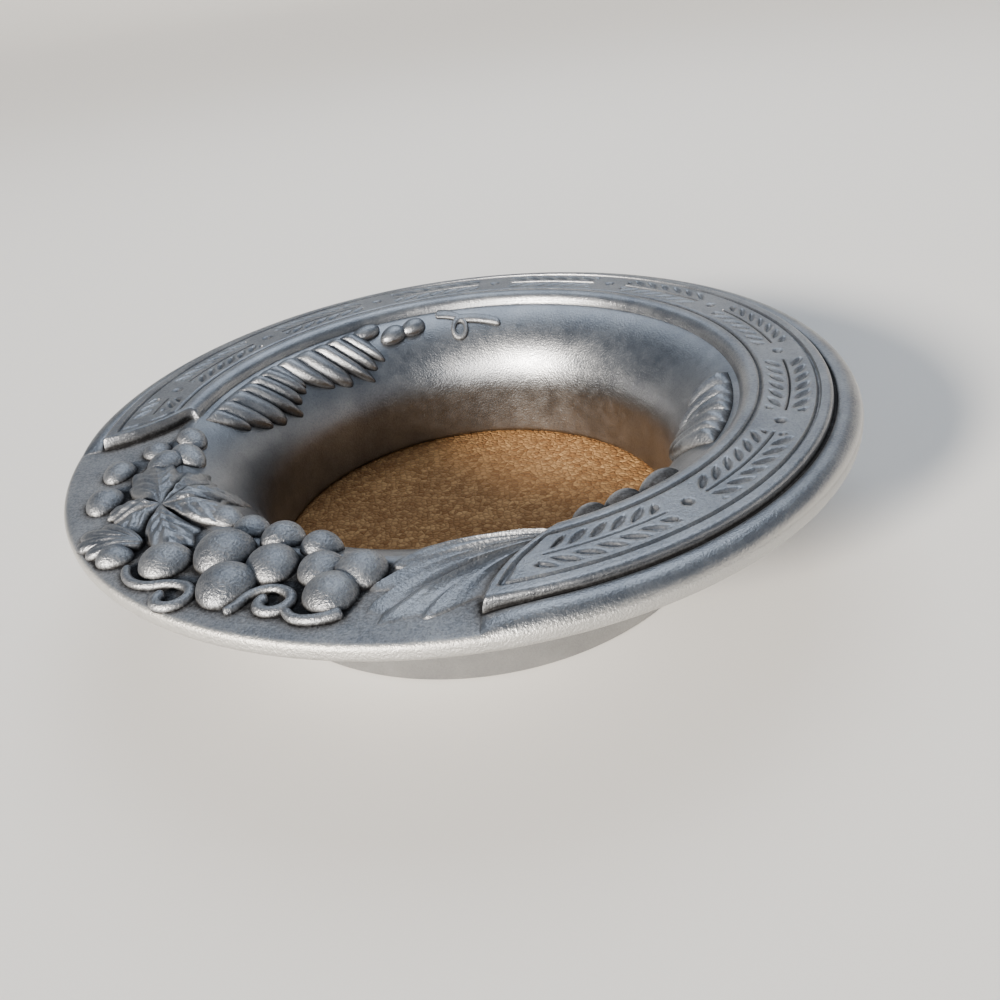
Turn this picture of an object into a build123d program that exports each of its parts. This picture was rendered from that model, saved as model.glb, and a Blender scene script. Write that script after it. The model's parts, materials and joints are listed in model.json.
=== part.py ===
# Wine bottle coaster: a cast ring with a vine in relief, and a cork pad under the bottle.
# The origin is on the table, on the ring's axis. +Z is up, and -Y is the front.
import math
import os

from build123d import *

os.makedirs("parts", exist_ok=True)

# Driving dimensions, in millimetres
outer_diameter = 152.0
field_height = 31.6
brim_thickness = 4.0
rim_rounding = 1.3
rim_undercut = 0.8
well_diameter = 83.0
bore_length = 10.0
mouth_diameter = 109.0
lip_width = 2.7
lip_rise = 1.6
lip_shoulder = 0.3
foot_diameter = 95.0
foot_draft = 1.4
foot_height = 12.0
foot_edge = 0.8
ledge_rounding = 1.2
cork_thickness = 2.8
cork_diameter = 88.0
cork_clearance = 0.15
cork_recess = 0.2
banner_rise = 2.6
banner_edge = 0.8
banner_bevel = 0.5
groove_width = 0.6
groove_rise = 0.9
bead_width = 3.2
bead_rise = 1.65
wall_relief = 2.0
bore_margin = 0.3
tendril_width = 1.9
leaf_rise = 2.4
vein_width = 0.7
vein_depth = 0.5

# Radii and heights that follow from them
rim_r = outer_diameter / 2
well_r = well_diameter / 2
mouth_r = mouth_diameter / 2
foot_r = foot_diameter / 2
cork_r = cork_diameter / 2
seat_r = mouth_r + lip_width
rebate_r = cork_r + cork_clearance
ledge_z = cork_recess + cork_thickness
bore_bottom = ledge_z + ledge_rounding
bore_top = bore_bottom + bore_length
brim_bottom = field_height - brim_thickness
rim_flat_r = rim_r - rim_rounding
rim_foot = brim_bottom + rim_undercut
lip_top = field_height + lip_rise
bead_outer_r = rim_flat_r
bead_inner_r = bead_outer_r - bead_width
banner_outer_r = bead_inner_r - groove_width
brim_width = rim_r - seat_r

# The flare of the well is one arc, upright where it leaves the bore and crisp at the mouth
flare_run = mouth_r - well_r
flare_rise = field_height - bore_top
flare_r = (flare_run**2 + flare_rise**2) / (2 * flare_run)
flare_x = well_r + flare_r


def polar(radius, angle):
    """Point in plan at a radius and an angle in degrees from +X."""
    return (radius * math.cos(math.radians(angle)), radius * math.sin(math.radians(angle)))


def on_brim(share, angle):
    """Point in plan on the brim: share 0 at the lip's outside, 1 at the rim."""
    return polar(seat_r + share * brim_width, angle)


def flare_point(steps_up, proud=0.0):
    """Radius and height of a point of the flare: 0 at the bore, 1 at the mouth, proud of the wall."""
    sweep = steps_up * math.asin(flare_rise / flare_r)
    return (flare_x - (flare_r + proud) * math.cos(sweep), bore_top + (flare_r + proud) * math.sin(sweep))


def grape(centre, length, width, turn, tilt=0.0):
    """Egg shape about its long axis, which lies at an angle in plan and rises by a tilt."""
    run = math.cos(math.radians(tilt))
    axis = (*polar(run, turn), math.sin(math.radians(tilt)))
    side = (-math.sin(math.radians(turn)), math.cos(math.radians(turn)), 0)
    with BuildSketch(Plane(origin=centre, x_dir=axis, z_dir=side)) as profile:
        with BuildLine():
            half = EllipticalCenterArc((0, 0), length / 2, width / 2, arc_size=180)
            Line(half @ 1, half @ 0)
        make_face()
    revolve(profile.sketch, axis=Axis(centre, axis))


def leaf_points(lobes, count):
    """Leaf outline about its stem: at each angle, the reach of the lobes, blended by a high power mean."""
    points = []
    for i in range(count):
        angle = 360.0 * i / count
        reach = 0.0
        for heading, length, spread in lobes:
            off = (angle - heading + 180.0) % 360.0 - 180.0
            reach += (length * math.exp(-((off / spread) ** 2))) ** 5
        stub = 0.16 * max(length for _, length, _ in lobes)
        points.append(polar((reach + stub**5) ** 0.2, angle))
    return points


def sized(lobes, unit):
    """The lobes with their lengths in millimetres, from lengths in a unit."""
    return [(heading, length * unit, spread) for heading, length, spread in lobes]


def brim_leaf(stem, shares, crown_share):
    """Domed leaf on the brim, kept out of the mouth, with a vein cut along each lobe from the stem."""
    lobes = sized(shares, brim_width)
    dome_r = crown_share * brim_width
    middle = lobes[0]
    crown = polar(0.45 * middle[1], middle[0])
    dome = (stem[0] + crown[0], stem[1] + crown[1], field_height + leaf_rise - dome_r)
    with BuildPart() as veins:
        with BuildSketch(Plane.XY.offset(field_height)):
            for heading, length, _ in lobes:
                reach = polar(0.45 * length, heading)
                with Locations(Location((stem[0] + reach[0], stem[1] + reach[1], 0), (0, 0, heading))):
                    SlotOverall(0.75 * length, vein_width)
        extrude(amount=2 * leaf_rise)
        with Locations(dome):
            Sphere(dome_r - vein_depth, mode=Mode.SUBTRACT)
    with BuildPart() as leaf:
        with BuildSketch(Plane.XY.offset(field_height)):
            with BuildLine():
                Spline(*[(stem[0] + x, stem[1] + y) for x, y in leaf_points(lobes, 48)], periodic=True)
            make_face()
        extrude(amount=2 * leaf_rise)
        with Locations(dome):
            Sphere(dome_r, mode=Mode.INTERSECT)
        with Locations((0, 0, field_height)):
            Cylinder(mouth_r + bore_margin, 4 * leaf_rise, mode=Mode.SUBTRACT)
        add(veins.part, mode=Mode.SUBTRACT)
    return leaf


def tendril(start, heading, arcs):
    """Half-round tendril on the brim, along arcs of a radius in brim widths and a turn, with end buds."""
    radius = tendril_width / 2
    height = field_height + 0.3 * radius
    with BuildPart() as stem:
        with BuildLine() as path:
            at = (*start, height)
            direction = (*polar(1, heading), 0)
            for bend, turn in arcs:
                arc = JernArc(at, direction, bend * brim_width, turn)
                at = arc @ 1
                direction = arc % 1
        with BuildSketch(Plane(origin=path.line @ 0, z_dir=path.line % 0)):
            Circle(radius)
        sweep()
        with Locations(path.line @ 0, path.line @ 1):
            Sphere(1.15 * radius)
        split(bisect_by=Plane.XY.offset(field_height), keep=Keep.TOP)
    return stem


def flare_skin(thickness, angle):
    """Skin of the flare, as thick as asked and clear of the bore, with its seam opposite an angle."""
    away = Plane(origin=(0, 0, 0), x_dir=(*polar(1, angle + 180), 0), z_dir=(*polar(1, angle + 90), 0))
    with BuildSketch(away) as ring:
        with Locations((flare_x, bore_top)):
            Circle(flare_r + thickness)
            Circle(flare_r, mode=Mode.SUBTRACT)
        with Locations((well_r + bore_margin, bore_top)):
            Rectangle(
                flare_run - bore_margin, flare_rise, align=(Align.MIN, Align.MIN), mode=Mode.INTERSECT
            )
    revolve(ring.sketch, axis=Axis.Z)


def wall_plane(angle, steps_up):
    """Upright plane through the axis, facing out at an angle, its origin level with a flare point."""
    return Plane(
        origin=(0, 0, flare_point(steps_up)[1]), x_dir=(*polar(1, angle + 90), 0), z_dir=(*polar(1, angle), 0)
    )


def wall_leaf(angle, shares, steps_up):
    """Leaf on the flare of the well: a skin of the flare, cut to a lobed outline seen from the axis."""
    with BuildPart() as leaf:
        flare_skin(wall_relief, angle)
        with BuildSketch(wall_plane(angle, steps_up)):
            with BuildLine():
                Polyline(*leaf_points(sized(shares, flare_rise), 72), close=True)
            make_face()
        extrude(amount=rim_r, mode=Mode.INTERSECT)
    return leaf


# Bottle collar: foot, bore, flared wall and lip, turned as one profile
with BuildPart() as collar:
    with BuildSketch(Plane.XZ):
        with BuildLine():
            Line((rebate_r, 0), (foot_r - foot_edge, 0))
            Line((foot_r - foot_edge, 0), (foot_r, foot_edge))
            side = Line((foot_r, foot_edge), (foot_r + foot_draft, foot_height))
            under = TangentArc(side @ 1, (seat_r, brim_bottom), tangent=side % 1)
            Line(under @ 1, (seat_r, lip_top - lip_shoulder))
            ThreePointArc(
                (seat_r, lip_top - lip_shoulder),
                (seat_r - 0.45 * lip_width, lip_top),
                (mouth_r, field_height),
            )
            ThreePointArc((mouth_r, field_height), flare_point(0.5), (well_r, bore_top))
            Line((well_r, bore_top), (well_r, bore_bottom))
            TangentArc((well_r, bore_bottom), (well_r + ledge_rounding, ledge_z), tangent=(0, -1))
            Line((well_r + ledge_rounding, ledge_z), (rebate_r, ledge_z))
            Line((rebate_r, ledge_z), (rebate_r, 0))
        make_face()
    revolve(axis=Axis.Z)
collar.part.label = "bottle_collar"
export_step(collar.part, "parts/bottle_collar.step")

# Brim: flat ring round the collar, with a rounded rim
with BuildPart() as brim:
    with BuildSketch(Plane.XZ):
        with BuildLine():
            Line((seat_r, brim_bottom), (rim_flat_r, rim_foot))
            TangentArc((rim_r, rim_foot + rim_rounding), (rim_flat_r, rim_foot), tangent=(0, -1))
            Line((rim_r, rim_foot + rim_rounding), (rim_r, field_height - rim_rounding))
            TangentArc((rim_r, field_height - rim_rounding), (rim_flat_r, field_height), tangent=(0, 1))
            Line((rim_flat_r, field_height), (seat_r, field_height))
            Line((seat_r, field_height), (seat_r, brim_bottom))
        make_face()
    revolve(axis=Axis.Z)
brim.part.label = "cast_brim"
export_step(brim.part, "parts/cast_brim.step")

# Cork pad: disc glued up against the ledge in the underside of the collar
with BuildPart() as cork:
    with BuildSketch(Plane.XY.offset(cork_recess)):
        Circle(cork_r)
    extrude(amount=cork_thickness)
cork.part.label = "cork_pad"
export_step(cork.part, "parts/cork_pad.step")

# Banner: raised panel, groove and bead, open over the vine, with an ogee at each end
front_tip, front_corner = 268.3, 281.5
left_tip, left_corner = 179.4, 169.0
banner_top = field_height + banner_rise
with BuildPart() as banner:
    with BuildSketch(Plane.XZ):
        with BuildLine():
            Line((seat_r, field_height), (bead_outer_r, field_height))
            ThreePointArc(
                (bead_outer_r, field_height),
                (bead_outer_r - 0.45 * bead_width, field_height + bead_rise),
                (bead_inner_r, field_height + groove_rise),
            )
            Line((bead_inner_r, field_height + groove_rise), (banner_outer_r, field_height + groove_rise))
            Line((banner_outer_r, field_height + groove_rise), (banner_outer_r, banner_top - banner_edge))
            Line((banner_outer_r, banner_top - banner_edge), (banner_outer_r - banner_edge, banner_top))
            Line((banner_outer_r - banner_edge, banner_top), (seat_r + banner_bevel, banner_top))
            Line((seat_r + banner_bevel, banner_top), (seat_r, banner_top - banner_bevel))
            Line((seat_r, banner_top - banner_bevel), (seat_r, field_height))
        make_face()
    revolve(axis=Axis.Z)
    with BuildSketch(Plane.XY.offset(field_height - brim_thickness)):
        with BuildLine():
            far = rim_r + rim_rounding
            near = seat_r - 0.5 * lip_width
            middle = (left_tip + front_tip) / 2
            front = Bezier(
                polar(far, front_tip),
                on_brim(0.15, front_tip),
                polar(seat_r, front_corner),
                polar(near, front_corner),
            )
            ThreePointArc(front @ 1, polar(near, middle), polar(near, left_corner))
            left = Bezier(
                polar(near, left_corner),
                polar(seat_r, left_corner),
                on_brim(0.15, left_tip),
                polar(far, left_tip),
            )
            ThreePointArc(left @ 1, polar(far, middle), front @ 0)
        make_face()
    extrude(amount=2 * (brim_thickness + banner_rise), mode=Mode.SUBTRACT)
banner.part.label = "scroll_banner"
export_step(banner.part, "parts/scroll_banner.step")

# Grapes on the brim: share across it, angle, length and width in brim widths, turn in plan
front_grapes = (
    (0.76, 215.2, 0.34, 0.30, 160),
    (0.54, 222.6, 0.48, 0.44, 80),
    (0.19, 228.5, 0.58, 0.51, 75),
    (0.53, 235.0, 0.55, 0.48, 80),
    (0.17, 238.0, 0.53, 0.43, 100),
    (0.13, 246.0, 0.45, 0.38, 80),
    (0.43, 249.9, 0.51, 0.43, 95),
    (0.12, 252.2, 0.47, 0.43, 100),
)
left_grapes = (
    (0.13, 183.3, 0.32, 0.27, 90),
    (0.47, 189.3, 0.39, 0.30, 80),
    (0.02, 189.3, 0.43, 0.33, 60),
    (0.61, 198.4, 0.45, 0.33, 85),
)
grape_bedding = 0.05
lip_grape_overhang = 0.2


def grape_bunch(grapes):
    """Grapes bedded a little into the brim, cut flat at the field and trimmed to the lip."""
    with BuildPart() as bunch:
        for share, angle, length, width, turn in grapes:
            bed = grape_bedding * width * brim_width
            centre = (*on_brim(share, angle), field_height - bed)
            grape(centre, length * brim_width, width * brim_width, turn)
        split(bisect_by=Plane.XY.offset(field_height), keep=Keep.TOP)
        add(collar.part, mode=Mode.SUBTRACT)
    return bunch


bunch_front = grape_bunch(front_grapes)
bunch_front.part.label = "grape_bunch_front"
export_step(bunch_front.part, "parts/grape_bunch_front.step")

bunch_left = grape_bunch(left_grapes)
bunch_left.part.label = "grape_bunch_left"
export_step(bunch_left.part, "parts/grape_bunch_left.step")

# Grapes that hang over the lip into the mouth: angle, length and width in brim widths, turn in plan
lip_grape_sizes = (
    (187.5, 0.45, 0.27, 130),
    (219.1, 0.39, 0.27, 130),
    (226.5, 0.35, 0.32, 140),
    (234.2, 0.40, 0.38, 140),
    (242.5, 0.38, 0.34, 150),
)
lip_grape_tilt = 12
with BuildPart() as lip_grapes:
    for angle, length, width, turn in lip_grape_sizes:
        girth = width * brim_width
        place = polar(mouth_r - lip_grape_overhang * girth, angle)
        centre = (*place, field_height - 2 * grape_bedding * girth)
        grape(centre, length * brim_width, girth, turn, lip_grape_tilt)
    for trim in (collar, brim, bunch_front, bunch_left):
        add(trim.part, mode=Mode.SUBTRACT)
lip_grapes.part.label = "lip_grapes"
export_step(lip_grapes.part, "parts/lip_grapes.step")

# Leaves on the brim: each lobe has a heading, a length in brim widths and a spread, the middle lobe first
leaf_large = brim_leaf(
    on_brim(0.40, 217.5),
    ((105, 1.20, 18), (128, 0.70, 20), (82, 1.10, 18), (58, 0.85, 20), (30, 0.62, 20), (8, 0.45, 16)),
    2.1,
)
leaf_small = brim_leaf(
    on_brim(0.52, 215.4),
    ((143, 0.72, 14), (160, 0.62, 12), (175, 0.52, 12)),
    1.3,
)
leaf_front = brim_leaf(
    on_brim(0.02, 275.0),
    ((202, 1.28, 13), (176, 1.00, 14), (190, 1.18, 12), (211, 1.26, 10), (221, 1.00, 11), (233, 0.62, 14)),
    2.1,
)
vine = (("vine_leaf_large", leaf_large), ("vine_leaf_small", leaf_small), ("vine_leaf_front", leaf_front))
trims = [collar, banner, bunch_front, bunch_left, lip_grapes]
for node, leaf in vine:
    with leaf:
        for trim in trims:
            add(trim.part, mode=Mode.SUBTRACT)
    leaf.part.label = node
    export_step(leaf.part, f"parts/{node}.step")
    trims.append(leaf)

# Tendrils on the brim
curl_left = tendril(on_brim(0.74, 218.6), 262, ((0.33, 96), (0.48, -30), (0.144, -190), (0.09, -120)))
curl_front = tendril(on_brim(0.80, 238.2), 20, ((0.24, 40), (0.22, -120), (0.133, -170), (0.085, -120)))
for node, curl in (("tendril_left", curl_left), ("tendril_front", curl_front)):
    with curl:
        for trim in trims:
            add(trim.part, mode=Mode.SUBTRACT)
    curl.part.label = node
    export_step(curl.part, f"parts/{node}.step")

# Relief inside the well, under the lip: leaves at the back left and on the right, in rises of the flare
inner_leaf_left = wall_leaf(
    136,
    (
        (352, 1.40, 12),
        (334, 1.00, 12),
        (312, 0.66, 13),
        (288, 0.50, 14),
        (262, 0.50, 14),
        (236, 0.62, 14),
        (212, 0.95, 12),
        (188, 1.30, 12),
    ),
    0.9,
)
inner_leaf_right = wall_leaf(
    337,
    (
        (350, 0.90, 13),
        (324, 0.70, 13),
        (296, 0.52, 14),
        (270, 0.46, 14),
        (244, 0.52, 14),
        (216, 0.70, 13),
        (190, 0.90, 13),
    ),
    0.9,
)
for node, leaf in (("inner_leaf_left", inner_leaf_left), ("inner_leaf_right", inner_leaf_right)):
    leaf.part.label = node
    export_step(leaf.part, f"parts/{node}.step")

# Grapes on the wall under the lip: angle, steps up the flare, length and width in its rises, turn in plan
left_wall_grapes = (
    (105.5, 0.78, 0.40, 0.29, 40),
    (99.5, 0.82, 0.38, 0.28, 30),
)
right_wall_grapes = (
    (288.6, 0.99, 0.36, 0.31, 15),
    (295.0, 0.99, 0.41, 0.32, 25),
    (303.2, 0.99, 0.52, 0.32, 35),
)
wall_grape_tilt = 8
for node, grapes in (("inner_grapes_left", left_wall_grapes), ("inner_grapes_right", right_wall_grapes)):
    with BuildPart() as cluster:
        for angle, steps_up, length, width, turn in grapes:
            radius, height = flare_point(steps_up)
            centre = (*polar(radius, angle), height)
            grape(centre, length * flare_rise, width * flare_rise, turn, wall_grape_tilt)
        for trim in (collar, brim, banner, inner_leaf_left, inner_leaf_right):
            add(trim.part, mode=Mode.SUBTRACT)
    cluster.part.label = node
    export_step(cluster.part, f"parts/{node}.step")

# Curl on the back wall: a bent strip of the flare's skin
curl_angle = 84
curl_bend = 0.52 * flare_rise
with BuildPart() as curl_back:
    flare_skin(0.5 * wall_relief, curl_angle)
    with BuildSketch(wall_plane(curl_angle, 0.95)):
        with BuildLine() as bow:
            CenterArc((0, 0.5 * curl_bend), curl_bend, 215, 110)
        SlotArc(bow.edges()[0], tendril_width)
    extrude(amount=rim_r, mode=Mode.INTERSECT)
curl_back.part.label = "inner_tendril_back"
export_step(curl_back.part, "parts/inner_tendril_back.step")
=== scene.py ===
"""Looks of the wine bottle coaster: one cast ring with a vine in relief, and a cork pad under the bottle."""
import json
import math

import bpy
import numpy as np
from mathutils import Matrix, Vector


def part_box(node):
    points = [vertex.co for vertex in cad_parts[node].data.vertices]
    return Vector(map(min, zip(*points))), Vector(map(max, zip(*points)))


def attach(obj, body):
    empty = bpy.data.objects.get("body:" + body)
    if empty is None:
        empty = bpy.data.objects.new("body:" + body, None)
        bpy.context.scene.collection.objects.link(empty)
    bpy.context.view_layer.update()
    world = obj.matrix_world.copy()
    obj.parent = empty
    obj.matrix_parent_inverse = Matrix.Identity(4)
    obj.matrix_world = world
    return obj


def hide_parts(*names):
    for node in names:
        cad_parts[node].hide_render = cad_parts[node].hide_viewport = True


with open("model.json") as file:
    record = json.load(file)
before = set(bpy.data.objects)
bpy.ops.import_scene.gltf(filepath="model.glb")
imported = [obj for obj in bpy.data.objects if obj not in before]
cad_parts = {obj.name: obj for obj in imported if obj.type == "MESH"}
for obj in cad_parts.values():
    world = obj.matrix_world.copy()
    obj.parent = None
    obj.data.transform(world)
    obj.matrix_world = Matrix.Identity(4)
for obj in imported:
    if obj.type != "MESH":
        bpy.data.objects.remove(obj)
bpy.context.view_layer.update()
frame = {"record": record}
mm = 0.001

# Bottle collar: the turned body of the ring, cast in pewter-coloured aluminium in one with the brim.
# Foot, bore, flared wall and lip are one profile. It is smoothed to a satin, and the outside of its foot is
# painted lighter towards the bottom as a painted highlight.
_, collar_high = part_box("bottle_collar")
brim_low, brim_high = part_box("cast_brim")
cork_low, cork_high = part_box("cork_pad")
well = next(m for m in frame["record"]["mounts"] if m["name"] == "bottle_well")
well_r = well["dims"]["r_mm"] * mm
bore_length = well["dims"]["length_mm"] * mm
bore_bottom = well["pos_m"][2] - bore_length / 2
bore_top = bore_bottom + bore_length
seat_r = collar_high.x
lip_top = collar_high.z
field = brim_high.z
lip_width = 2.7 * mm
mouth_r = seat_r - lip_width
cork_room = 0.15 * mm
rebate_r = cork_high.x + cork_room
ledge = cork_high.z
foot_r = 47.5 * mm
foot_edge = 0.8 * mm
foot_top = (48.9 * mm, 12 * mm)


def arc(centre, radii, start, end, count=16):
    """Points of an elliptical arc in a profile, between two angles in degrees."""
    turn = np.radians(np.linspace(start, end, count))
    return np.column_stack([centre[0] + radii[0] * np.cos(turn), centre[1] + radii[1] * np.sin(turn)])


def line(start, end, count=2):
    """Points of a straight run in a profile."""
    return np.linspace(start, end, count)


def cove(start, heading, end, count):
    """Arc that leaves a start along a heading and ends at a point: its radius is the chord squared over twice
    the end's distance from the line of the heading."""
    start = np.array(start)
    heading = np.array(heading) / np.hypot(*heading)
    chord = np.subtract(end, start)
    side = np.array([heading[1], -heading[0]])
    radius = chord @ chord / (2 * side @ chord)
    centre = start + radius * side
    turns = [math.degrees(math.atan2(*(point - centre)[::-1])) for point in (start, np.array(end))]
    return arc(centre, (radius, radius), turns[0] % 360, turns[1] % 360, count)


def turned(profile, columns):
    """Grid of a profile of radii and heights carried round the axis, the last column on the first."""
    turn = np.linspace(0, 2 * np.pi, columns + 1)[:, None]
    radius, height = profile.T
    return np.stack([radius * np.cos(turn), radius * np.sin(turn), height + 0 * turn], axis=-1)


def quads_of(index):
    """Corners of one quad to each cell of a grid of point numbers."""
    corners = (index[:-1, :-1], index[:-1, 1:], index[1:, 1:], index[1:, :-1])
    return np.stack(corners, axis=-1).reshape(-1, 4)


def mesh_piece(name, grids, capped=False):
    """Object whose mesh has one quad per cell of each grid of points.

    Points at the same place are welded, so seams and poles close. A capped grid gets a face over its first
    and last columns. The faces are turned outward by the sign of the volume that they enclose.
    """
    weld_step, crease = 0.001 * mm, math.radians(50)
    spots, faces, base = [], [], 0
    for grid in grids:
        rows, columns = grid.shape[:2]
        index = base + np.arange(rows * columns).reshape(rows, columns)
        faces.append(quads_of(index))
        spots.append(grid.reshape(-1, 3))
        base += rows * columns
    spots = np.concatenate(spots)
    keys = np.round(spots / weld_step).astype(np.int64)
    _, first, weld = np.unique(keys, axis=0, return_index=True, return_inverse=True)
    spots, weld = spots[first], weld.reshape(-1)
    quads = weld[np.concatenate(faces)]
    whole = (quads != np.roll(quads, 1, axis=1)).all(axis=1)
    shrunk = [list(dict.fromkeys(quad)) for quad in quads[~whole].tolist()]
    polygons = quads[whole].tolist() + [corners for corners in shrunk if len(corners) == 3]
    if capped:
        polygons += [list(dict.fromkeys(weld[index[:, end]].tolist())) for end in (0, -1)]
    mesh = bpy.data.meshes.new(name)
    mesh.from_pydata(spots, [], polygons)
    mesh.calc_loop_triangles()
    corners = np.empty(3 * len(mesh.loop_triangles), dtype=np.int32)
    mesh.loop_triangles.foreach_get("vertices", corners)
    a, b, c = spots[corners.reshape(-1, 3)].transpose(1, 0, 2)
    if np.einsum("ij,ij->", a, np.cross(b, c)) < 0:
        mesh.flip_normals()
    mesh.shade_smooth()
    mesh.set_sharp_from_angle(angle=crease)
    piece = bpy.data.objects.new(name, mesh)
    bpy.context.collection.objects.link(piece)
    return piece


class Shade:
    """A socket of a material's nodes. Arithmetic on it adds the Math nodes that work it out."""

    def __init__(self, tree, socket=None):
        self.tree = tree
        self.socket = socket

    def node(self, kind, inputs=None, output=0, **settings):
        """Adds a node of a kind with its settings, sets or links its inputs, and returns one output."""
        made = self.tree.nodes.new("ShaderNode" + kind)
        for key, value in settings.items():
            setattr(made, key, value)
        for key, value in (inputs or {}).items():
            if isinstance(value, Shade):
                self.tree.links.new(value.socket, made.inputs[key])
            else:
                made.inputs[key].default_value = value
        return Shade(self.tree, made.outputs[output])

    def maths(self, operation, *values):
        return self.node("Math", dict(enumerate(values)), operation=operation)

    def __add__(self, other):
        return self.maths("ADD", self, other)

    def __sub__(self, other):
        return self.maths("SUBTRACT", self, other)

    def __rsub__(self, other):
        return self.maths("SUBTRACT", other, self)

    def __mul__(self, other):
        return self.maths("MULTIPLY", self, other)

    def limit(self):
        """The value held between 0 and 1."""
        return self.maths("MINIMUM", self.maths("MAXIMUM", self, 0.0), 1.0)

    def blend(self, below, above):
        """Colour from one to another as this value goes from 0 to 1."""
        return self.node("Mix", {0: self, 6: below, 7: above}, output=2, data_type="RGBA")

    __radd__ = __add__
    __rmul__ = __mul__


def principled(name):
    """New material and the start of its node maths, its Principled shader, and its object coordinates."""
    material = bpy.data.materials.new(name)
    material.use_nodes = True
    start = Shade(material.node_tree)
    return material, start, material.node_tree.nodes["Principled BSDF"], start.node("TexCoord", output=3)


def cast_metal(name, sand, roughness):
    """Cast pewter-coloured metal: near black painted shade in its hollows, and painted highlights.

    The painted shade follows the mesh's recess value, broken up by a scuffed noise; below zero the value
    lightens the metal as a painted highlight. Sand is the share of the mould's grain that is left, as relief
    and as bright and dull specks.
    """
    dull_grey, clear_grey = (0.23, 0.24, 0.26, 1.0), (0.42, 0.425, 0.435, 1.0)
    # The near black is painted shade, and also colours the sand's dull specks; the light grey is a painted
    # highlight.
    painted_highlight_grey, painted_shade_and_speck_black = (0.56, 0.55, 0.53, 1.0), (0.028, 0.027, 0.028, 1.0)
    material, start, shader, place = principled(name)
    recess = start.node("Attribute", output=2, attribute_name="recess")
    clouds = start.node("TexNoise", {0: place, "Scale": 95.0, "Detail": 4.0, "Roughness": 0.6})
    grain = start.node("TexNoise", {0: place, "Scale": 2300.0, "Detail": 2.0, "Roughness": 0.65})
    specks = start.node("TexNoise", {0: place, "Scale": 900.0, "Detail": 3.0, "Roughness": 0.7})
    scuffs = start.node("TexNoise", {0: place, "Scale": 380.0, "Detail": 6.0, "Roughness": 0.75})
    patches = 0.65 + 0.7 * scuffs
    mottle = 0.5 * (0.52 - specks) + 0.6 * (0.5 - grain)
    # Painted shade: the colour darkens towards near black as the recess value rises.
    dark = (recess * patches + sand * mottle).limit()
    sheen = (0.5 + 1.6 * (clouds - 0.5) + 1.6 * sand * (grain - 0.5)).limit()
    # Painted highlight: a recess value below zero lightens the colour.
    painted_highlight = (0.0 - recess).limit()
    clean = painted_highlight.blend(sheen.blend(dull_grey, clear_grey), painted_highlight_grey)
    links = material.node_tree.links
    links.new(dark.blend(clean, painted_shade_and_speck_black).socket, shader.inputs["Base Color"])
    links.new((1.0 - 0.55 * dark).socket, shader.inputs["Metallic"])
    links.new((roughness + 0.3 * (scuffs - 0.5) + 0.3 * dark).limit().socket, shader.inputs["Roughness"])
    relief = start.node("Bump", {"Strength": 0.6, "Distance": 0.3 * mm * sand, "Height": grain})
    links.new(relief.socket, shader.inputs["Normal"])
    return material


mouth_fall = field - bore_top
flare_run = mouth_r - well_r
flare_r = (flare_run**2 + mouth_fall**2) / (2 * flare_run)
flare_centre = (well_r + flare_r, bore_top)
flare_end = math.degrees(math.asin(mouth_fall / flare_r))
lip_middle = mouth_r + 1.5 * mm
lip_drop = 0.3 * mm
lip_profile = np.vstack([
    arc((lip_middle, field), (seat_r - lip_middle, lip_top - field), 0, 90, 10),
    arc((lip_middle, field - lip_drop), (lip_middle - mouth_r, lip_top - field + lip_drop), 90, 172, 14)[1:],
])
fillet = bore_bottom - ledge
collar_profile = np.vstack([
    line((rebate_r, 0), (foot_r - foot_edge, 0), 4),
    arc((foot_r - foot_edge, foot_edge), (foot_edge, foot_edge), -90, 0, 8)[1:],
    line((foot_r, foot_edge), foot_top, 12)[1:],
    cove(foot_top, np.subtract(foot_top, (foot_r, foot_edge)), (seat_r, brim_low.z), 30)[1:],
    line((seat_r, brim_low.z), (seat_r, field), 4)[1:],
    lip_profile[1:],
    arc(flare_centre, (flare_r, flare_r), 180 - flare_end, 180, 60)[1:],
    line((well_r, bore_top), (well_r, bore_bottom), 14)[1:],
    arc((well_r + fillet, bore_bottom), (fillet, fillet), 180, 270, 10)[1:],
    line((well_r + fillet, ledge), (rebate_r, ledge), 3)[1:],
    line((rebate_r, ledge), (rebate_r, 0), 4)[1:],
])
vine_start, vine_end, vine_fade = 164.0, 286.5, 5.0
vine_lip = 0.12


def under_vine(angle):
    """1 where the vine lies, 0 elsewhere, with a smooth change at each end of its sector, in degrees."""
    into = np.clip(np.minimum(angle - vine_start, vine_end - angle) / vine_fade, 0, 1)
    return into * into * (3 - 2 * into)


collar_grid = turned(collar_profile, 480)
above_field = np.maximum(collar_grid[..., 2] - field, 0)
around = np.degrees(np.arctan2(collar_grid[..., 1], collar_grid[..., 0])) % 360
collar_grid[..., 2] -= above_field * (1 - vine_lip) * under_vine(around)
collar = mesh_piece("collar_body", [collar_grid])
collar.data.materials.append(cast_metal("satin_casting", 0.45, 0.36))
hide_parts("bottle_collar")
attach(collar, "root")

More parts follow.
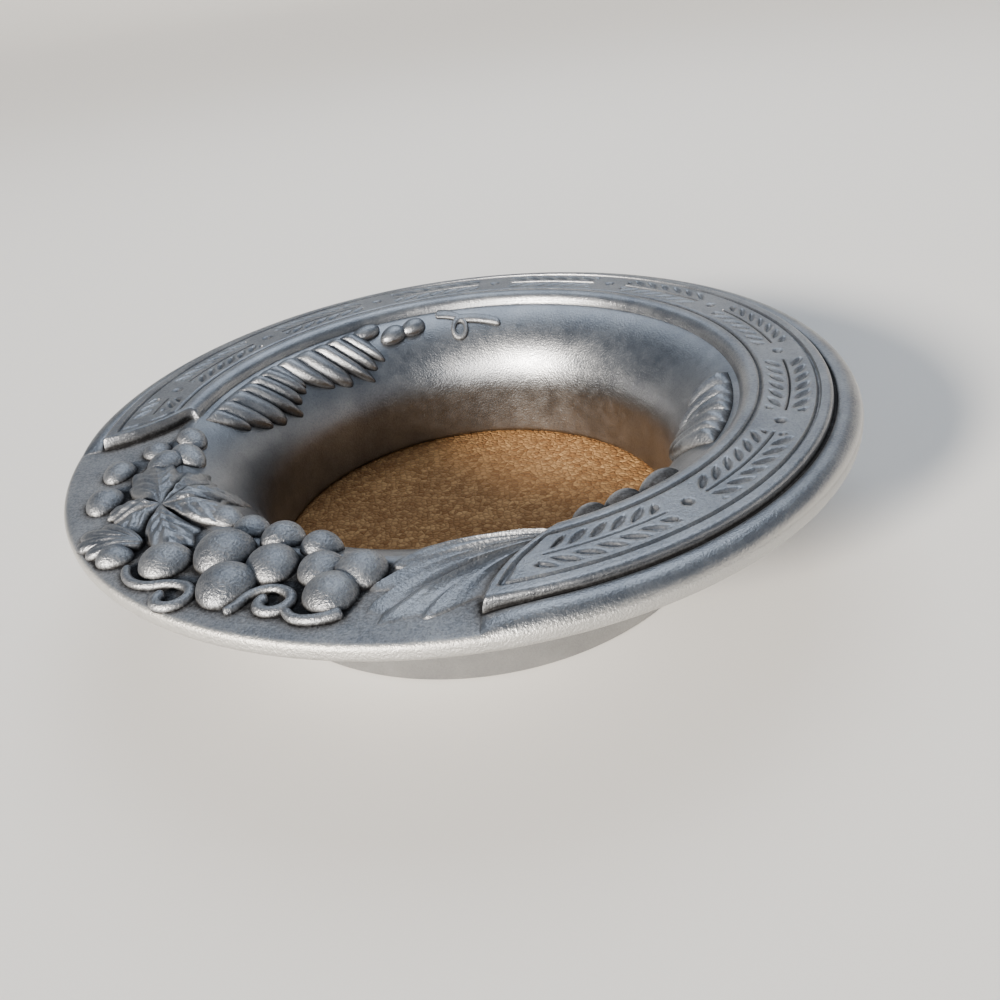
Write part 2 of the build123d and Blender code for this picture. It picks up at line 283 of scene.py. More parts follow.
# Brim: the flat ring round the collar, of the same metal and cast in one with it. Its rim is a full rounding
# that keeps the sand's grain, and its field lies open only under the vine.
rim_r = brim_high.x
rim_foot = brim_low.z + 0.8 * mm
rim_middle = (rim_foot + field) / 2
rim_start = rim_r - 1.9 * mm
rim_turn = np.radians(np.linspace(-90, 90, 33))
squareness = 0.62
rim_round = np.column_stack([
    rim_start + (rim_r - rim_start) * np.abs(np.cos(rim_turn)) ** squareness,
    rim_middle + (field - rim_middle) * np.sign(np.sin(rim_turn)) * np.abs(np.sin(rim_turn)) ** squareness,
])
brim_profile = np.vstack([
    line((seat_r, brim_low.z), (rim_start, rim_foot), 24)[:-1],
    rim_round,
    line((rim_start, field), (seat_r, field), 64)[1:],
    line((seat_r, field), (seat_r, brim_low.z), 4)[1:],
])
brim = mesh_piece("brim_ring", [turned(brim_profile, 640)])
brim.data.materials.append(cast_metal("sandy_casting", 1.0, 0.56))
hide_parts("cast_brim")
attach(brim, "root")

# Cork pad: a disc pressed from cork granules. It is glued up against the ledge under the collar, and its top
# shows in the well.
cork_edge = 0.5 * mm
cork_profile = np.vstack([
    line((0, cork_low.z), (cork_high.x - cork_edge, cork_low.z), 20),
    arc((cork_high.x - cork_edge, cork_low.z + cork_edge), (cork_edge, cork_edge), -90, 0, 6)[1:],
    line((cork_high.x, cork_low.z + cork_edge), (cork_high.x, cork_high.z), 6)[1:],
    line((cork_high.x, cork_high.z), (0, cork_high.z), 90)[1:],
])


def pressed_cork(name):
    """Pressed cork: granules of mixed browns over a millimetre across, dark where they meet, with finer
    crumbs between."""
    granules = 850.0
    deep_brown, pale_brown = (0.30, 0.145, 0.055, 1.0), (0.66, 0.40, 0.19, 1.0)
    gap_brown, stain_brown = (0.12, 0.055, 0.022, 1.0), (0.24, 0.12, 0.05, 1.0)
    material, start, shader, place = principled(name)
    granule = start.node("TexVoronoi", {0: place, "Scale": granules, "Randomness": 1.0}, output=1)
    edge = start.node("TexVoronoi", {0: place, "Scale": granules}, feature="DISTANCE_TO_EDGE")
    crumbs = start.node("TexNoise", {0: place, "Scale": 1500.0, "Detail": 3.0, "Roughness": 0.7})
    stains = start.node("TexNoise", {0: place, "Scale": 60.0, "Detail": 3.0})
    tone = start.node("SeparateColor", {0: granule})
    body = (0.75 * tone + 0.5 * (crumbs - 0.3)).limit().blend(deep_brown, pale_brown)
    gap = (1.0 - 6.0 * edge).limit() * 0.4
    colour = (1.2 * (stains - 0.4)).limit().blend(gap.blend(body, gap_brown), stain_brown)
    links = material.node_tree.links
    links.new(colour.socket, shader.inputs["Base Color"])
    shader.inputs["Roughness"].default_value = 0.85
    swell = (3.0 * edge).limit() + 0.5 * crumbs
    relief = start.node("Bump", {"Strength": 0.7, "Distance": 0.3 * mm, "Height": swell})
    links.new(relief.socket, shader.inputs["Normal"])
    return material


cork = mesh_piece("cork_disc", [turned(cork_profile, 240)])
cork.data.materials.append(pressed_cork("pressed_cork"))
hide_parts("cork_pad")
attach(cork, "root")

# Banner: the raised band that runs round the brim, of the same metal and cast in one with it. It ends in an
# ogee on each side of the vine. An incised line follows its edges, with laurel sprays between drilled dots
# inside it.
_, banner_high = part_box("scroll_banner")
banner_top = banner_high.z
bead_in = rim_r - 4.5 * mm
panel_out = bead_in - 0.6 * mm
panel_foot = panel_out + 0.12 * mm
panel_edge = 0.9 * mm
panel_in = seat_r - 0.1 * mm
groove_z = field + 0.9 * mm
bead_top = (bead_in + 1.5 * mm, field + 1.55 * mm)
roll_in = mouth_r + 0.1 * mm
roll_out = seat_r - 0.2 * mm
hidden_r = rim_r - 1.2 * mm
sunk_z = field - 0.5 * mm
front_tip, front_corner = 268.3, 281.5
left_tip, left_corner = 179.4, 169.0


def ogee(radius, tip, corner):
    """Angle of a banner end at a radius: a cubic whose first two poles lie at the tip's angle and last two at
    the corner's, with radii that run from outside the rim to inside the seat."""
    step = np.linspace(0, 1, 200)
    width = rim_r - seat_r
    poles = (rim_r + 1.3 * mm, seat_r + 0.15 * width, seat_r, seat_r - 1.35 * mm)
    weight = ((1 - step) ** 3, 3 * step * (1 - step) ** 2, 3 * step**2 * (1 - step), step**3)
    reach = sum(pole * share for pole, share in zip(poles, weight))
    angle = tip + (corner - tip) * (weight[2] + weight[3])
    return np.interp(-radius, -reach, angle)


def laurel(along, across):
    """Share of full depth, from 0 to 1, of an incised laurel spray: lens-shaped leaves in pairs that slant
    from a fine stem, one pair to each pitch along it."""
    pitch, slant, half_length, half_width = 3.5 * mm, math.radians(33), 2.5 * mm, 0.72 * mm
    stem_half, stem_slope, leaf_off, leaf_slope = 0.24 * mm, 0.2 * mm, 2.3 * mm, 0.35 * mm
    beside = np.abs(across)
    cut = np.clip((stem_half - beside) / stem_slope, 0, 1)
    for shift in (-1, 0, 1):
        ahead = (along / pitch - np.floor(along / pitch) - 0.5 + shift) * pitch
        lengthwise = (ahead * np.cos(slant) + (beside - leaf_off) * np.sin(slant)) / half_length
        sideways = -ahead * np.sin(slant) + (beside - leaf_off) * np.cos(slant)
        lens = half_width * (1 - lengthwise**2) - np.abs(sideways)
        cut = np.maximum(cut, np.clip(lens / leaf_slope, 0, 1))
    return cut


banner_rows = np.vstack([
    [(roll_in, sunk_z)],
    arc((roll_out, field), (roll_out - roll_in, banner_top - field), 180, 90, 10),
    line((roll_out, banner_top), (panel_out - panel_edge, banner_top), 56)[1:],
    arc((panel_out - panel_edge, banner_top - panel_edge), (panel_edge, panel_edge), 90, 0, 8)[1:],
    line((panel_out, banner_top - panel_edge), (panel_foot, groove_z), 4)[1:],
    line((panel_foot, groove_z), (bead_in, groove_z), 3)[1:],
    arc((bead_top[0], groove_z), (bead_top[0] - bead_in, bead_top[1] - groove_z), 180, 90, 8)[1:],
    arc((bead_top[0], rim_middle), (rim_r - bead_top[0], bead_top[1] - rim_middle), 90, 6, 14)[1:],
    [(hidden_r, rim_middle)],
    [(roll_in, rim_middle)],
    [(roll_in, sunk_z)],
])
radius = banner_rows[:, :1]
height = banner_rows[:, 1:]

# The columns of the band run from one ogee to the other, close together where the ends are rounded.
end_rounding = 0.7 * mm
banner_sector = math.radians(250)
near_end = end_rounding / (seat_r * banner_sector) * (1 - np.cos(np.linspace(0, np.pi / 2, 9)))
between_ends = np.linspace(near_end[-1], 1 - near_end[-1], 880)
spread = np.concatenate([near_end[:-1], between_ends, 1 - near_end[-2::-1]])
begin = np.radians(ogee(radius, front_tip, front_corner))
end = np.radians(ogee(radius, left_tip, left_corner) + 360)
turn = begin + (end - begin) * spread
from_end = np.minimum(turn - begin, end - turn) * radius

# The incised border is a distance from two circles and from both ends; far is a distance that cuts nothing.
line_in = seat_r + 1.1 * mm
line_out = panel_out - 2.5 * mm
line_end = 2.2 * mm
line_width = 0.42 * mm
line_slope = 0.25 * mm
end_slant = 0.72
far = 9 * mm
between_lines = (radius > line_in) & (radius < line_out)
from_circles = np.minimum(np.abs(radius - line_in), np.abs(radius - line_out))
border = np.minimum(
    np.where(from_end < line_end, far, from_circles),
    np.where(between_lines, end_slant * np.abs(from_end - line_end), far),
)

# Dots stand at equal angles along the middle of the border. The sprays keep clear of them and of the ends.
middle_r = (line_in + line_out) / 2
dot_sector = math.radians(27.5)
first_dot = math.radians(300)
dot_r, dot_slope, dot_room = 1.05 * mm, 0.4 * mm, 4.2 * mm
plain_end = 6.0 * mm
spray_share = 0.9
phase = (turn - first_dot) / dot_sector
from_dot = (phase - np.round(phase)) * dot_sector * middle_r
dot = np.clip((dot_r - np.hypot(from_dot, radius - middle_r)) / dot_slope, 0, 1) * (from_end > plain_end)
has_spray = (np.abs(from_dot) > dot_room) & (from_end > plain_end)
spray = np.where(has_spray, laurel(turn * middle_r, radius - middle_r), 0)
border_cut = np.clip((line_width - border) / line_slope, 0, 1)
cut = np.maximum(border_cut, np.maximum(spray_share * spray, dot))

# Towards each end the section rounds down to the bare brim, the bead over a longer run than the panel.
cut_depth = 0.55 * mm
bead_fade = 11 * mm
end_sink = 0.15 * mm
level_step = 0.01 * mm
panel = (radius > panel_in) & (radius < panel_out - panel_edge) & (height > banner_top - level_step)
rounding_run = np.where(radius > panel_out, bead_fade, end_rounding)
rounding = np.sqrt(1 - (1 - np.clip(from_end / rounding_run, 0, 1)) ** 2)
upper_rim = rim_round[len(rim_round) // 2 + 1:][::-1]
bare = np.interp(radius, *upper_rim.T)
top = bare + (height - bare) * rounding - end_sink * (1 - rounding)
banner_z = np.where(height > rim_middle, top, height) - np.where(panel, cut_depth * cut, 0)
banner_grid = np.stack([radius * np.cos(turn), radius * np.sin(turn), banner_z], axis=-1)
banner = mesh_piece("banner_band", [banner_grid], capped=True)
banner.data.materials.append(cast_metal("banner_casting", 0.6, 0.38))
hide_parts("scroll_banner")
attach(banner, "root")

# Grapes on the brim and over the lip: of the same metal and cast in one with the ring, each a plump egg
# bedded into the field. Their crowns keep the metal's colour, and near black painted shade fills the gaps
# between them.
brim_width = rim_r - seat_r


def egg(centre, length, width, turn, tilt=0.0):
    """Grid of an egg about its long axis, which lies at a turn in plan and rises by a tilt: the girth is the
    sine of the way along it, fuller at one end, broader than high, with a slight unevenness round it."""
    fuller, waver, broad, high = 0.13, 0.015, 1.09, 0.9
    way = np.linspace(0, np.pi, 34)[:, None]
    round_it = np.linspace(0, 2 * np.pi, 57)
    turn, tilt = math.radians(turn), math.radians(tilt)
    axis = np.array([math.cos(turn) * math.cos(tilt), math.sin(turn) * math.cos(tilt), math.sin(tilt)])
    side = np.array([-math.sin(turn), math.cos(turn), 0])
    up = np.cross(axis, side)
    uneven = 1 - waver + waver * np.sin(2 * round_it + 9 * turn) * np.sin(way)
    girth = 0.495 * width * np.sin(way) * (1 - fuller * np.cos(way)) * uneven
    reach = -0.5 * length * np.cos(way) + 0 * round_it
    offsets = [reach, broad * girth * np.cos(round_it), high * girth * np.sin(round_it)]
    return np.array(centre) + sum(o[..., None] * d for o, d in zip(offsets, (axis, side, up)))


def polar(radius, angle):
    """Point in plan at a radius and an angle in degrees."""
    return (radius * math.cos(math.radians(angle)), radius * math.sin(math.radians(angle)))


def on_brim(share, angle):
    """Point in plan on the brim: share 0 at the lip's outside, 1 at the rim."""
    return polar(seat_r + share * brim_width, angle)


def brim_grapes(rows):
    """Eggs on the field from rows of share across it, angle, length and width in brim widths, and turn."""
    sink = 0.05
    eggs = []
    for share, angle, length, width, turn in rows:
        centre = (*on_brim(share, angle), field - sink * width * brim_width)
        eggs.append(egg(centre, length * brim_width, width * brim_width, turn))
    return eggs


def lip_row(rows):
    """Eggs over the lip from rows of angle, length and width in brim widths, and turn."""
    inward, sink, tilt = 0.2, 0.1, 12
    eggs = []
    for angle, length, width, turn in rows:
        centre = (*polar(mouth_r - inward * width * brim_width, angle), field - sink * width * brim_width)
        eggs.append(egg(centre, length * brim_width, width * brim_width, turn, tilt))
    return eggs


grape_metal = cast_metal("grape_casting", 1.0, 0.46)
grape_sets = {
    "grape_bunch_front": brim_grapes((
        (0.76, 215.2, 0.34, 0.30, 160),
        (0.54, 222.6, 0.48, 0.44, 80),
        (0.19, 228.5, 0.58, 0.51, 75),
        (0.53, 235.0, 0.55, 0.48, 80),
        (0.17, 238.0, 0.53, 0.43, 100),
        (0.13, 246.0, 0.45, 0.38, 80),
        (0.43, 249.9, 0.51, 0.43, 95),
        (0.12, 252.2, 0.47, 0.43, 100),
    )),
    "grape_bunch_left": brim_grapes((
        (0.13, 183.3, 0.32, 0.27, 90),
        (0.47, 189.3, 0.39, 0.30, 80),
        (0.02, 189.3, 0.43, 0.33, 60),
        (0.61, 198.4, 0.45, 0.33, 85),
    )),
    "lip_grapes": lip_row((
        (179.5, 0.40, 0.28, 120),
        (187.5, 0.45, 0.30, 130),
        (219.1, 0.39, 0.27, 130),
        (226.5, 0.35, 0.32, 140),
        (234.2, 0.40, 0.38, 140),
        (242.5, 0.38, 0.34, 150),
    )),
}
grapes = {}
for node, eggs in grape_sets.items():
    grapes[node] = mesh_piece(node + "_cast", eggs)
    grapes[node].data.materials.append(grape_metal)
    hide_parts(node)
    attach(grapes[node], "root")

# Leaves on the brim: carved in the pattern, and cast in one with the ring in the same metal. The large leaf
# has seven ribbed lobes with toothed edges, the small one is a fan of grooved fingers, and the front one is
# a plume of fine strokes.
flare_top = arc(flare_centre, (flare_r, flare_r), 180, 180 - flare_end, 40)
vine_bed = lip_profile[::-1] * (1, vine_lip) + (0, field * (1 - vine_lip))
open_field = [(seat_r + 5 * mm, field), (rim_r, field)]
top_r, top_z = np.vstack([flare_top[:-1], vine_bed, open_field]).T


def leaf(lobes, unit, rise, rib=0.0, rib_pitch=2.2 * mm, stroke=0.0, stroke_pitch=7.0, lean=0.0, teeth=0.0):
    """Local grid x, y and height h of a carved leaf about its stem.

    Its reach at an angle is a power mean of its lobes, each a bell about its heading, with teeth as a wave
    along the edge. A lobe is a rounded ridge that falls to a valley where the next begins, swells along its
    length and drops at the edge. A midrib runs along it; ribs slant from the midrib, or strokes fan out from
    the stem. The leaf bends by a lean from its stem to its tips. Below the field its edge closes to a point.
    """
    power, core, tooth_count = 5, 0.06, 30
    valley_fall, midrib, midrib_width, rib_slant = 0.62, 0.45 * mm, 0.38 * mm, 1.3
    heading, length, spread = np.array(lobes, float).T[..., None]
    length = length * unit
    angle = np.linspace(0, 360, 361)
    share = np.linspace(0, 1, 46)[:, None]
    off = (angle - heading + 180) % 360 - 180
    bell = length * np.exp(-((off / spread) ** 2))
    reach = ((bell**power).sum(axis=0) + (core * length.max()) ** power) ** (1 / power)
    reach = reach * (1 + teeth * np.cos(np.radians(tooth_count * angle)))
    order = np.sort(bell, axis=0)
    valley = (order[-2] / order[-1]) ** 2.2
    aside = np.radians(off[bell.argmax(axis=0), np.arange(len(angle))])
    run = share * reach
    across, along = run * np.sin(aside), run * np.cos(aside)
    swell = (1 - share**5) ** 0.6 * (0.7 + 0.3 * np.sin(np.pi * np.minimum(1.1 * share, 1)))
    opened = np.clip(share * 3, 0, 1)
    ribs = np.cos(2 * np.pi * (along - rib_slant * np.abs(across)) / rib_pitch)
    h = rise * swell * (1 - valley_fall * valley * opened)
    h = h + midrib * np.exp(-((across / midrib_width) ** 2)) * (1 - share) * opened
    h = h + rib * opened * swell * ribs * (1 - valley)
    h = h + stroke * opened * swell * np.cos(2 * np.pi * angle / stroke_pitch)
    bend = np.radians(angle - lean * (1 - share**2))
    x, y = run * np.cos(bend), run * np.sin(bend)
    skirt = -0.5 * mm + 0 * x[:1]
    return (
        np.vstack([x, x[-1:], 0 * x[:1]]),
        np.vstack([y, y[-1:], 0 * y[:1]]),
        np.vstack([h, skirt, skirt]),
    )


def closed_under(x, y, h):
    """A local grid closed by a second sheet 0.4 mm below the field, which joins the first along its side
    edges."""
    back = slice(None, None, -1)
    low = -0.4 * mm + 0 * h
    return tuple(np.hstack([up, under[:, back], up[:, :1]]) for up, under in ((x, x), (y, y), (h, low)))


def blade(length, half_width, rise, heading):
    """Local grid x, y and height h of one finger of a leaf, from its root along a heading in degrees.

    Its half width opens from a point at the root and rounds off at the tip. Across, it is a rounded ridge
    with a groove on each side of its midrib; along, it swells and dips at the tip. A second sheet closes it
    below the field.
    """
    groove, groove_at, groove_width = 0.22 * mm, 0.42, 0.16
    along = 0.5 - 0.5 * np.cos(np.linspace(0, np.pi, 40))[:, None]
    across = np.sin(np.linspace(-np.pi / 2, np.pi / 2, 31))
    closing = np.sqrt(np.maximum(1 - along**6, 0) * (1 - (1 - along) ** 12))
    width = half_width * (0.45 + 0.55 * along) * closing
    round_off = np.sqrt(np.maximum(1 - across**2, 0)) * np.sqrt(np.maximum(1 - along**8, 0))
    h = rise * (0.55 + 0.45 * np.sin(np.pi * along**0.8)) * round_off
    h = h - groove * np.exp(-(((np.abs(across) - groove_at) / groove_width) ** 2)) * (1 - along**4)
    turn = math.radians(heading)
    ahead, beside = length * along + 0 * across, width * across
    x = ahead * math.cos(turn) - beside * math.sin(turn)
    y = ahead * math.sin(turn) + beside * math.cos(turn)
    return closed_under(x, y, h)


def leaf_on_brim(stem, x, y, h):
    """The leaf laid on the brim and over the lip: its height is added to the casting's top at each radius."""
    x, y = x + stem[0], y + stem[1]
    return np.stack([x, y, np.interp(np.hypot(x, y), top_r, top_z) + h], axis=-1)


leaf_metal = cast_metal("leaf_casting", 0.7, 0.42)
finger_half, finger_rise = 2.5 * mm, 2.3 * mm
large_lobes = (
    (108, 1.02, 34),
    (172, 0.52, 44),
    (232, 0.60, 42),
    (290, 0.84, 36),
    (340, 0.84, 36),
    (38, 0.80, 36),
    (73, 0.82, 26),
)
front_lobes = (
    (199, 1.64, 9),
    (179, 1.36, 10),
    (189.5, 1.55, 8),
    (206, 1.60, 7.5),
    (213, 1.33, 8),
    (222, 0.9, 10),
)
brim_leaves = {
    "vine_leaf_large": [leaf_on_brim(on_brim(0.16, 207.5), *leaf(
        large_lobes, brim_width, 2.3 * mm, rib=0.16 * mm, rib_pitch=2.6 * mm, lean=6.0, teeth=0.045))],
    "vine_leaf_small": [
        leaf_on_brim(on_brim(0.52, 215.4), *blade(length * brim_width, finger_half, finger_rise, heading))
        for heading, length in ((137, 0.62), (151, 0.70), (165, 0.64), (180, 0.50))
    ],
    "vine_leaf_front": [leaf_on_brim(on_brim(0.02, 281.8), *leaf(
        front_lobes, brim_width, 2.0 * mm, stroke=0.16 * mm, stroke_pitch=3.0, lean=10.0))],
}
leaves = {}
for node, grids in brim_leaves.items():
    leaves[node] = mesh_piece(node + "_cast", grids)
    leaves[node].data.materials.append(leaf_metal)
    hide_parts(node)
    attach(leaves[node], "root")

# Tendrils on the brim: half-round runners that curl up at the end, of the same metal and cast in one with the
# ring. They keep the sandy skin of the grapes beside them.
tendril_r = 0.95 * mm


def tendril(start, heading, arcs, unit, thick=tendril_r):
    """Local grid x, y and height h of a runner along arcs of a radius in units and a turn in degrees: a
    circle carried along the path, a little fuller towards its end and closed to a point at both ends."""
    lift = 0.3
    place, heading = np.array(start, float), math.radians(heading)
    path, ways = [place[None]], [np.array([heading])]
    for bend, turn in arcs:
        turn = math.radians(turn)
        bend = math.copysign(bend * unit, turn)
        step = heading + turn * np.linspace(0, 1, 40)[1:]
        centre = place + bend * np.array([-math.sin(heading), math.cos(heading)])
        path.append(centre + bend * np.column_stack([np.sin(step), -np.cos(step)]))
        ways.append(step)
        place, heading = path[-1][-1], step[-1]
    path, ways = np.vstack(path), np.concatenate(ways)
    share = np.linspace(0, 1, len(path))[:, None]
    girth = thick * (0.85 + 0.3 * share**2) * (1 - (2 * share - 1) ** 24) ** 0.5
    round_it = np.linspace(0, 2 * np.pi, 25)
    beside = girth * np.cos(round_it)
    x = path[:, :1] - beside * np.sin(ways)[:, None]
    y = path[:, 1:] + beside * np.cos(ways)[:, None]
    return x, y, lift * thick + girth * np.sin(round_it)


left_curl = ((0.33, 96), (0.48, -30), (0.144, -190), (0.09, -120))
front_curl = ((0.24, 40), (0.22, -120), (0.133, -170), (0.085, -120))
front_strand = ((0.20, 62), (0.40, 44))
runners = {
    "tendril_left": [tendril(on_brim(0.74, 218.6), 262, left_curl, brim_width)],
    "tendril_front": [
        tendril(on_brim(0.80, 238.2), 20, front_curl, brim_width),
        tendril(on_brim(0.66, 245.6), -80, front_strand, brim_width),
    ],
}
tendrils = {}
for node, grids in runners.items():
    tendrils[node] = mesh_piece(node + "_cast", [np.stack([x, y, field + h], axis=-1) for x, y, h in grids])
    tendrils[node].data.materials.append(grape_metal)
    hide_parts(node)
    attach(tendrils[node], "root")

# Relief inside the well: leaves that hang from the lip down the flared wall, grapes between them and a curl
# at the back. All are of the same metal, cast in one with the wall and left unbuffed.


def on_wall(angle, level, x, y, proud):
    """Local points put on the flare seen from the axis at an angle: y is measured up from a level, and each
    point stands proud along the flare's normal."""
    rise = np.clip(level + y - bore_top, 0, mouth_fall)
    sweep = np.arcsin(rise / flare_r)
    wall_r = flare_centre[0] - flare_r * np.cos(sweep)
    turn = math.radians(angle) + np.arcsin(np.clip(x / wall_r, -1, 1))
    reach = wall_r - proud * np.cos(sweep)
    z = bore_top + rise + proud * np.sin(sweep)
    return np.stack([reach * np.cos(turn), reach * np.sin(turn), z], axis=-1)


def flare_level(steps_up):
    """Height of a point of the flare: 0 at the bore, 1 at the mouth."""
    return bore_top + flare_r * math.sin(steps_up * math.radians(flare_end))


def wall_grapes(rows):
    """Eggs on the flare from rows of angle, steps up, length and width in rises of the flare, and turn."""
    tilt = 8
    eggs = []
    for angle, steps_up, length, width, turn in rows:
        sweep = steps_up * math.radians(flare_end)
        centre = (*polar(flare_centre[0] - flare_r * math.cos(sweep), angle), flare_level(steps_up))
        eggs.append(egg(centre, length * mouth_fall, width * mouth_fall, turn, tilt))
    return eggs


def garland(angle, length, fingers, fall, slant):
    """Strip of leaf that hangs from the lip round an angle, its fingers side by side like a fringe.

    Along the lip the height is a row of rounded ridges with sharp valleys between, one to a finger; each
    ridge reaches further down than its valleys, and leans by a slant. The strip thins out at both ends and
    at its top and tips.
    """
    thick, hung_from = 2.3 * mm, 0.95
    along = np.linspace(0, 1, 22 * fingers + 1)[:, None]
    down = np.linspace(0, 1, 26)
    ridge = np.abs(np.sin(np.pi * fingers * (along + 0.02 * np.sin(9 * along)))) ** 0.75
    ridge = ridge * np.sqrt(1 - (2 * along - 1) ** 8)
    drop = fall * (1 - 0.55 * (2 * along - 1) ** 2) * (0.62 + 0.3 * ridge + 0.08 * np.sin(23 * along))
    ends = np.sqrt(1 - (2 * along - 1) ** 6)
    x = length * (0.5 - along) - slant * down**1.2 * drop * ends
    y = -down * drop * ends
    body = np.clip(down / 0.12, 0, 1) ** 0.5 * (1 - down**5) ** 0.6
    proud = thick * ends * body * (0.25 + 0.75 * ridge)
    return on_wall(angle, flare_level(hung_from), *closed_under(x, y, proud))


back_curl_r = 0.62 * mm
back_curl_start = (8.0 * mm, 0.8 * mm)
back_curl = ((1.1, 20), (0.09, 340), (2.4, 14))
wall_pieces = {
    "inner_leaf_left": [
        garland(155, 26 * mm, 6, 9.5 * mm, 0.55),
        garland(129, 27 * mm, 6, 9.5 * mm, 0.75),
        *wall_grapes(((112.5, 0.90, 0.46, 0.24, 25),)),
    ],
    "inner_leaf_right": [
        garland(346, 15 * mm, 3, 9.0 * mm, 0.4),
        garland(331, 16 * mm, 4, 9.5 * mm, -0.2),
    ],
    "inner_grapes_left": wall_grapes((
        (105.5, 0.78, 0.40, 0.29, 40),
        (99.5, 0.82, 0.38, 0.28, 30),
    )),
    "inner_grapes_right": wall_grapes((
        (288.6, 0.99, 0.36, 0.31, 15),
        (295.0, 0.99, 0.41, 0.32, 25),
        (303.2, 0.99, 0.52, 0.32, 35),
    )),
    "inner_tendril_back": [
        on_wall(84, flare_level(0.86), *tendril(back_curl_start, 180, back_curl, mouth_fall, back_curl_r)),
    ],
}
wall_relief = {}
for node, grids in wall_pieces.items():
    wall_relief[node] = mesh_piece(node + "_cast", grids)
    wall_relief[node].data.materials.append(leaf_metal)
    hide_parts(node)
    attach(wall_relief[node], "root")

# Painted shade and highlight: near black painted shade in the hollows of the casting and between its parts,
# and painted highlights on the rim's face and the foot. It is a recess value on each point of the metal: how
# far the point lies below the mean height of what is round it, or on the wall how little it stands out.
metal = [collar, brim, banner, *grapes.values(), *leaves.values(), *tendrils.values(), *wall_relief.values()]
cell = 0.3 * mm
margin_cells = 21
cells = 2 * int(rim_r / cell) + margin_cells


def spots_of(piece):
    """Points of a piece's mesh, and their places on the height map in cells."""
    spots = np.empty(3 * len(piece.data.vertices))
    piece.data.vertices.foreach_get("co", spots)
    spots = spots.reshape(-1, 3)
    return spots, spots[:, :2] / cell + cells / 2


def read_map(values, places):
    """Values of a map at places between its cells, weighted by the nearness of the four cells round each."""
    low = np.floor(places).astype(int)
    (i, j), (u, v) = low.T, (places - low).T
    here = (1 - v) * values[i, j] + v * values[i, j + 1]
    beyond = (1 - v) * values[i + 1, j] + v * values[i + 1, j + 1]
    return (1 - u) * here + u * beyond


def smoothed(values, width):
    """A map blurred by a bell of a width in metres, as a product of its spectrum with the bell's."""
    wave = np.hypot(np.fft.fftfreq(cells)[:, None], np.fft.rfftfreq(cells)) * 2 * np.pi * width / cell
    return np.fft.irfft2(np.fft.rfft2(values) * np.exp(-0.5 * wave**2), s=values.shape)


heights = np.zeros((cells, cells))
for piece in metal:
    spots, places = spots_of(piece)
    np.maximum.at(heights, tuple(np.round(places).astype(int).T), spots[:, 2])
for _ in range(2):
    neighbours = np.max([np.roll(heights, shift, axis) for shift in (-1, 1) for axis in (0, 1)], axis=0)
    heights = np.where(heights == 0, neighbours, heights)
map_floor = field - 3 * mm
least_known = 0.05
gain_at_width = {0.8 * mm: 1300.0, 2.2 * mm: 560.0}
known = (heights > map_floor).astype(float)
surroundings = []
for width, gain in gain_at_width.items():
    mean_height = smoothed(heights * known, width) / np.maximum(smoothed(known, width), least_known)
    surroundings.append((mean_height, gain))

shade_floor = field - 1.0 * mm
lip_clear, lip_fade = mouth_r + 1.2 * mm, 1.2 * mm
rim_highlight_r, rim_highlight_fade = rim_r - 0.9 * mm, 0.6 * mm
foot_outside, foot_fade, foot_highlight = foot_r - 1.0 * mm, 5 * mm, 0.25
wall_shade, wall_start, wall_fade = 0.85, 1.15, 1.3 * mm
for piece in metal:
    spots, places = spots_of(piece)
    z = spots[:, 2]
    plan_r = np.hypot(*spots[:, :2].T)
    depth = sum((read_map(mean_height, places) - z) * gain for mean_height, gain in surroundings)
    if piece in (collar, banner):
        depth = depth * np.clip((plan_r - lip_clear) / lip_fade, 0, 1)
    # Painted shade: darker where a point lies below its surroundings, and only above the shade floor.
    recess = np.where(z > shade_floor, np.clip(depth, 0, 1), 0.0)
    if piece in (brim, banner):
        # Painted highlight: the outer face of the rim is painted light all round, and its painted shade is
        # cleared.
        rim_highlight = np.clip((plan_r - rim_highlight_r) / rim_highlight_fade, 0, 1)
        recess = recess * (1 - np.clip(2 * rim_highlight, 0, 1)) - rim_highlight
    if piece is collar:
        # Painted highlight: the outside of the foot is painted lighter further below the brim, where the
        # brim's shade ends.
        recess = recess - foot_highlight * (plan_r > foot_outside) * np.clip((brim_low.z - z) / foot_fade, 0, 1)
    if piece in wall_relief.values():
        # Painted shade: the wall relief darkens where it stands out little from the flared wall, at its foot.
        up_wall = np.clip(z - bore_top, 0, mouth_fall)
        stands = flare_centre[0] - np.sqrt(flare_r**2 - up_wall**2) - plan_r
        recess = wall_shade * np.clip(wall_start - stands / wall_fade, 0, 1)
    attribute = piece.data.attributes.new("recess", "FLOAT", "POINT")
    attribute.data.foreach_set("value", recess)

# Stage: a pale painted floor that sweeps up into a wall all round, under a pale blue surround. A warm soft
# sun comes from the front left, with a cool softbox overhead and a warm one in front.
flat_r, sweep_r, sweep_top = 2.5, 5.0, 1.1
sweep_profile = np.vstack([
    line((0, 0), (flat_r, 0), 12),
    arc((flat_r, sweep_top), (sweep_r - flat_r, sweep_top), -90, 0, 24)[1:],
])
floor_grid = turned(sweep_profile, 96)
floor_index = np.arange(floor_grid[..., 0].size).reshape(floor_grid.shape[:2])
floor_mesh = bpy.data.meshes.new("floor")
floor_mesh.from_pydata(floor_grid.reshape(-1, 3), [], quads_of(floor_index).tolist())
floor_mesh.shade_smooth()
floor = bpy.data.objects.new("floor", floor_mesh)
bpy.context.collection.objects.link(floor)
paint, _, paint_shader, _ = principled("floor_paint")
paint_shader.inputs["Base Color"].default_value = (0.80, 0.78, 0.75, 1.0)
paint_shader.inputs["Roughness"].default_value = 0.8
floor_mesh.materials.append(paint)

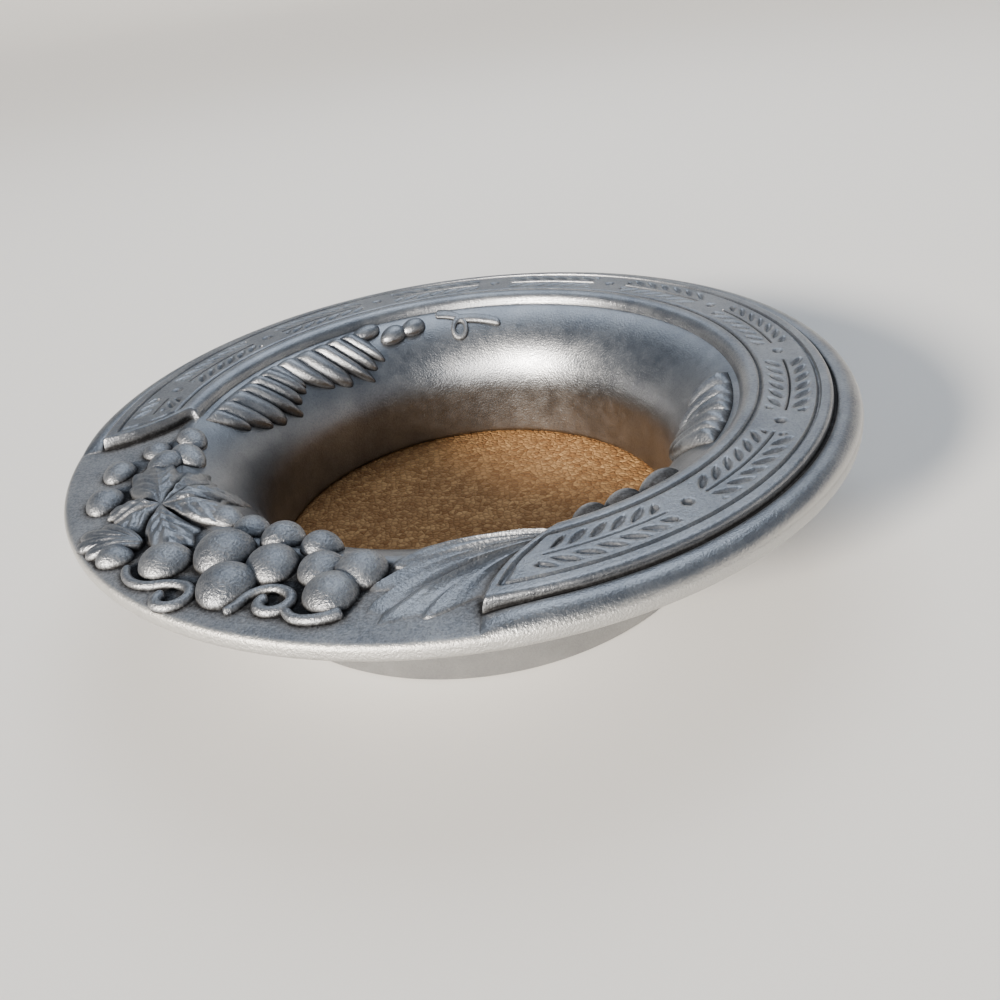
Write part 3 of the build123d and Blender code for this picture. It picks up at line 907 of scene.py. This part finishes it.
world = bpy.data.worlds.new("surround")
world.use_nodes = True
surround = world.node_tree.nodes["Background"]
surround.inputs["Color"].default_value = (0.62, 0.70, 0.82, 1.0)
surround.inputs["Strength"].default_value = 0.35
bpy.context.scene.world = world


def facing(direction):
    """Turn of a lamp whose back points along a direction."""
    return Vector(direction).to_track_quat("Z", "Y").to_matrix().to_4x4()


def softbox(name, place, target, size, power, colour):
    """Square area light at a place, turned to a target."""
    light = bpy.data.lights.new(name, "AREA")
    light.size = size
    light.energy = power
    light.color = colour
    lamp = bpy.data.objects.new(name, light)
    lamp.matrix_world = Matrix.Translation(place) @ facing(Vector(place) - Vector(target))
    bpy.context.collection.objects.link(lamp)


sun_data = bpy.data.lights.new("key", "SUN")
sun_data.energy = 5.8
sun_data.angle = math.radians(10)
sun_data.color = (1.0, 0.93, 0.83)
sun = bpy.data.objects.new("key", sun_data)
sun.matrix_world = facing((-0.70, -0.68, 0.38))
bpy.context.collection.objects.link(sun)
softbox("overhead", (0.10, 0.35, 0.70), (0, 0, 0), 0.6, 2.0, (0.80, 0.89, 1.0))
softbox("front", (-0.35, -1.30, 0.32), (0, 0, 0.03), 0.55, 11.0, (1.0, 0.96, 0.90))

# Camera: where the photograph was taken from, close above the front rim and rolled a little. Its distance
# and target are in outer radii, fitted to the ellipses of the ring.
eye_distance = 2.7376 * rim_r
target = Vector((0.0666, -0.1781, 0.2)) * rim_r
elevation = math.radians(32.17)
roll = math.radians(-7.96)
eye = Vector((0, -eye_distance * math.cos(elevation), eye_distance * math.sin(elevation)))
ahead = (target - eye).normalized()
level = ahead.cross(Vector((0, 0, 1))).normalized()
upright = level.cross(ahead)
right = math.cos(roll) * level + math.sin(roll) * upright
above = math.cos(roll) * upright - math.sin(roll) * level
camera_data = bpy.data.cameras.new("camera")
camera_data.sensor_width = 36.0
camera_data.lens = 34.58
camera_data.clip_start = 0.005
camera = bpy.data.objects.new("camera", camera_data)
camera.matrix_world = Matrix.Translation(eye) @ Matrix((right, above, -ahead)).transposed().to_4x4()
bpy.context.collection.objects.link(camera)
bpy.context.scene.camera = camera
bpy.context.scene.view_settings.look = "AgX - Medium High Contrast"
